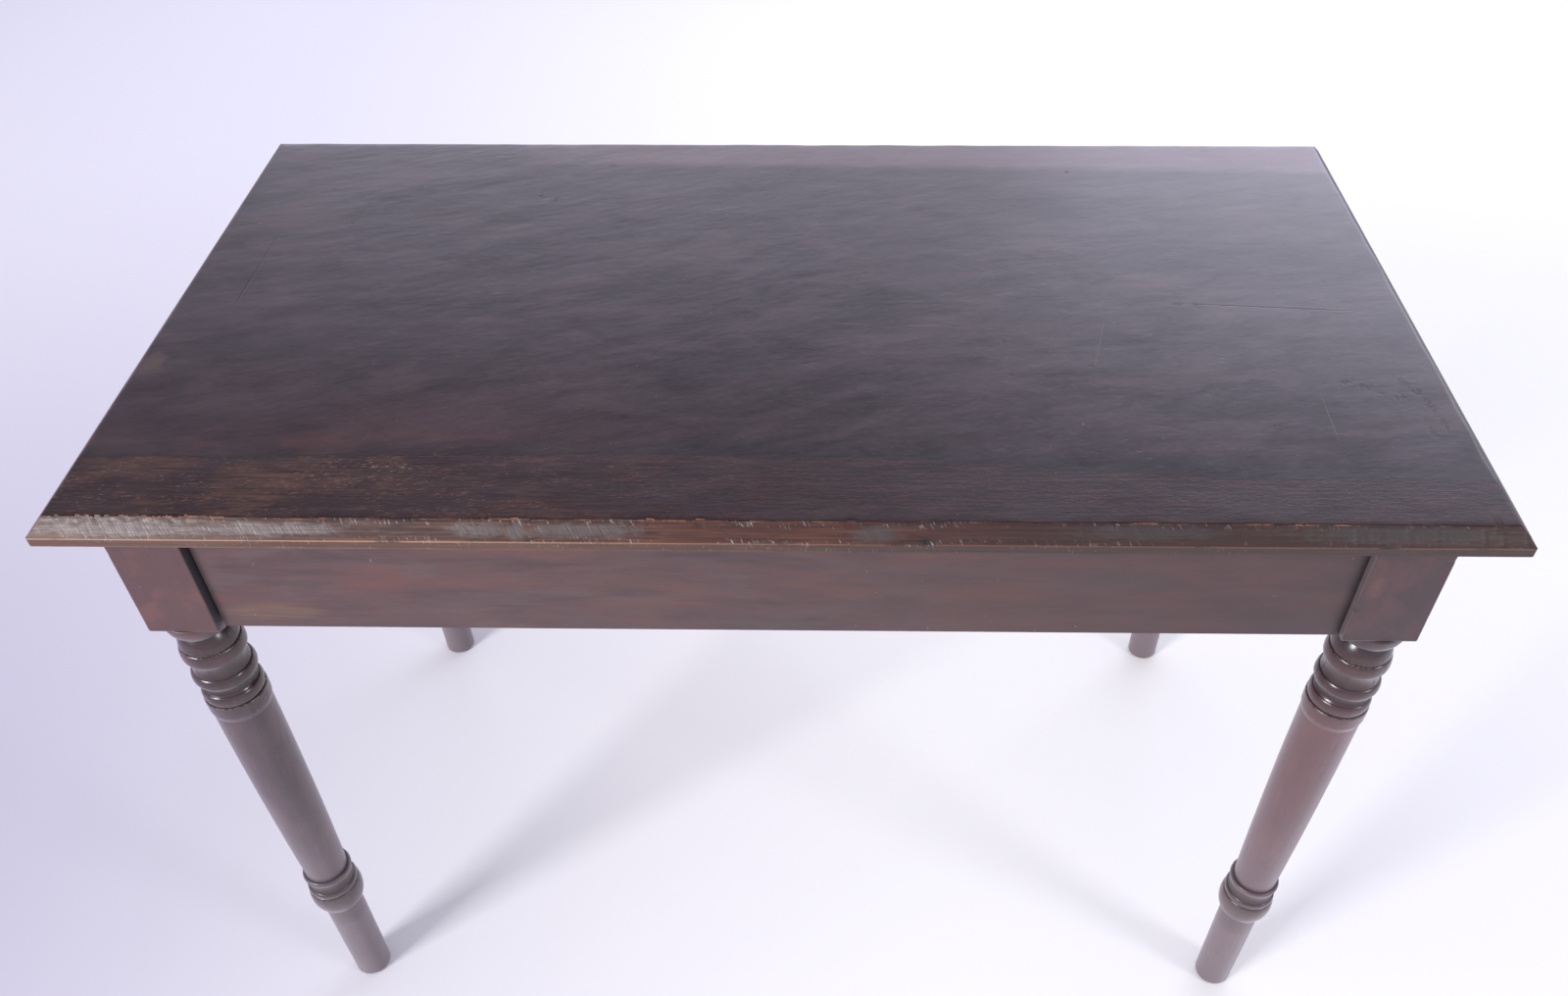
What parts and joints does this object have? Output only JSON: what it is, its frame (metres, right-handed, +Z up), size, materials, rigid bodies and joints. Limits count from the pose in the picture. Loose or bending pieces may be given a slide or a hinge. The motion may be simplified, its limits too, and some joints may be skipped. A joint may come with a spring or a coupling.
{
  "type": "refectory table",
  "caption": "Rectangular dark wood table with a bevelled boarded top, a plain apron and turned legs with square heads.",
  "frame": {"origin": "on the floor under the middle of the top", "axes": "+X along the table to the right as seen from the front, +Y from the front to the rear, +Z up"},
  "size_m": [1.192, 0.65, 0.75],
  "materials": {
    "top_mahogany": "old worn polish, satin",
    "apron_mahogany": "old worn polish, satin",
    "turned_mahogany": "old worn polish, satin",
    "secondary_wood": "bare, aged",
    "old_iron": "dull, slightly rusted"
  },
  "bodies": {
    "root": {"top_front_board": "top_mahogany", "top_centre_board": "top_mahogany", "top_rear_board": "top_mahogany", "front_rail": "apron_mahogany", "rear_rail": "apron_mahogany", "left_rail": "apron_mahogany", "right_rail": "apron_mahogany", "leg_front_left": "turned_mahogany", "leg_front_right": "turned_mahogany", "leg_rear_left": "turned_mahogany", "leg_rear_right": "turned_mahogany", "glue_block_front_left": "secondary_wood", "glue_block_front_right": "secondary_wood", "glue_block_rear_left": "secondary_wood", "glue_block_rear_right": "secondary_wood", "glue_block_left": "secondary_wood", "glue_block_right": "secondary_wood", "cross_bearer": "secondary_wood", "pocket_screws": "old_iron", "bearer_screws": "old_iron"}
  },
  "joints": []
}
